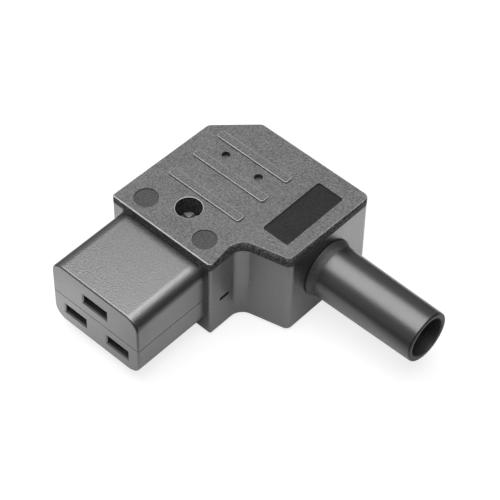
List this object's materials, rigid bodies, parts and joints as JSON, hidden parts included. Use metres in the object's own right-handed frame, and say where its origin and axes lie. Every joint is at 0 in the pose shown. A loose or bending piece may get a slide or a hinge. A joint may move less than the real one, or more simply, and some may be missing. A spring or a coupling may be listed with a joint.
{
  "type": "right-angle C19 power connector",
  "caption": "Rewireable right-angle C19 connector: a blade-slot nose, a two-part housing with a screwed cover, and a soft cable boot.",
  "frame": {"origin": "centre of the nose's mating face", "axes": "-Y out of the nose towards the inlet, +X along the cable boot towards the cable, +Z out of the cover"},
  "size_m": [0.0712, 0.0598, 0.0248],
  "materials": {
    "cover_plastic": "fine spark-eroded texture",
    "base_plastic": "satin",
    "insert_plastic": "satin",
    "boot_rubber": "smooth soft plastic",
    "contact_brass": "plain",
    "screw_steel": "zinc plated"
  },
  "bodies": {
    "root": {"base_shell": "base_plastic", "cover": "cover_plastic", "insert_lower": "insert_plastic", "insert_upper": "insert_plastic", "line_contact": "contact_brass", "neutral_contact": "contact_brass", "earth_contact": "contact_brass", "line_terminal": "contact_brass", "neutral_terminal": "contact_brass", "earth_terminal": "contact_brass", "line_terminal_screw": "screw_steel", "neutral_terminal_screw": "screw_steel", "earth_terminal_screw": "screw_steel", "cover_screw": "screw_steel", "cover_nut": "contact_brass", "cable_boot": "boot_rubber", "clamp_bar": "base_plastic", "clamp_screw_front": "screw_steel", "clamp_screw_back": "screw_steel"}
  },
  "joints": []
}
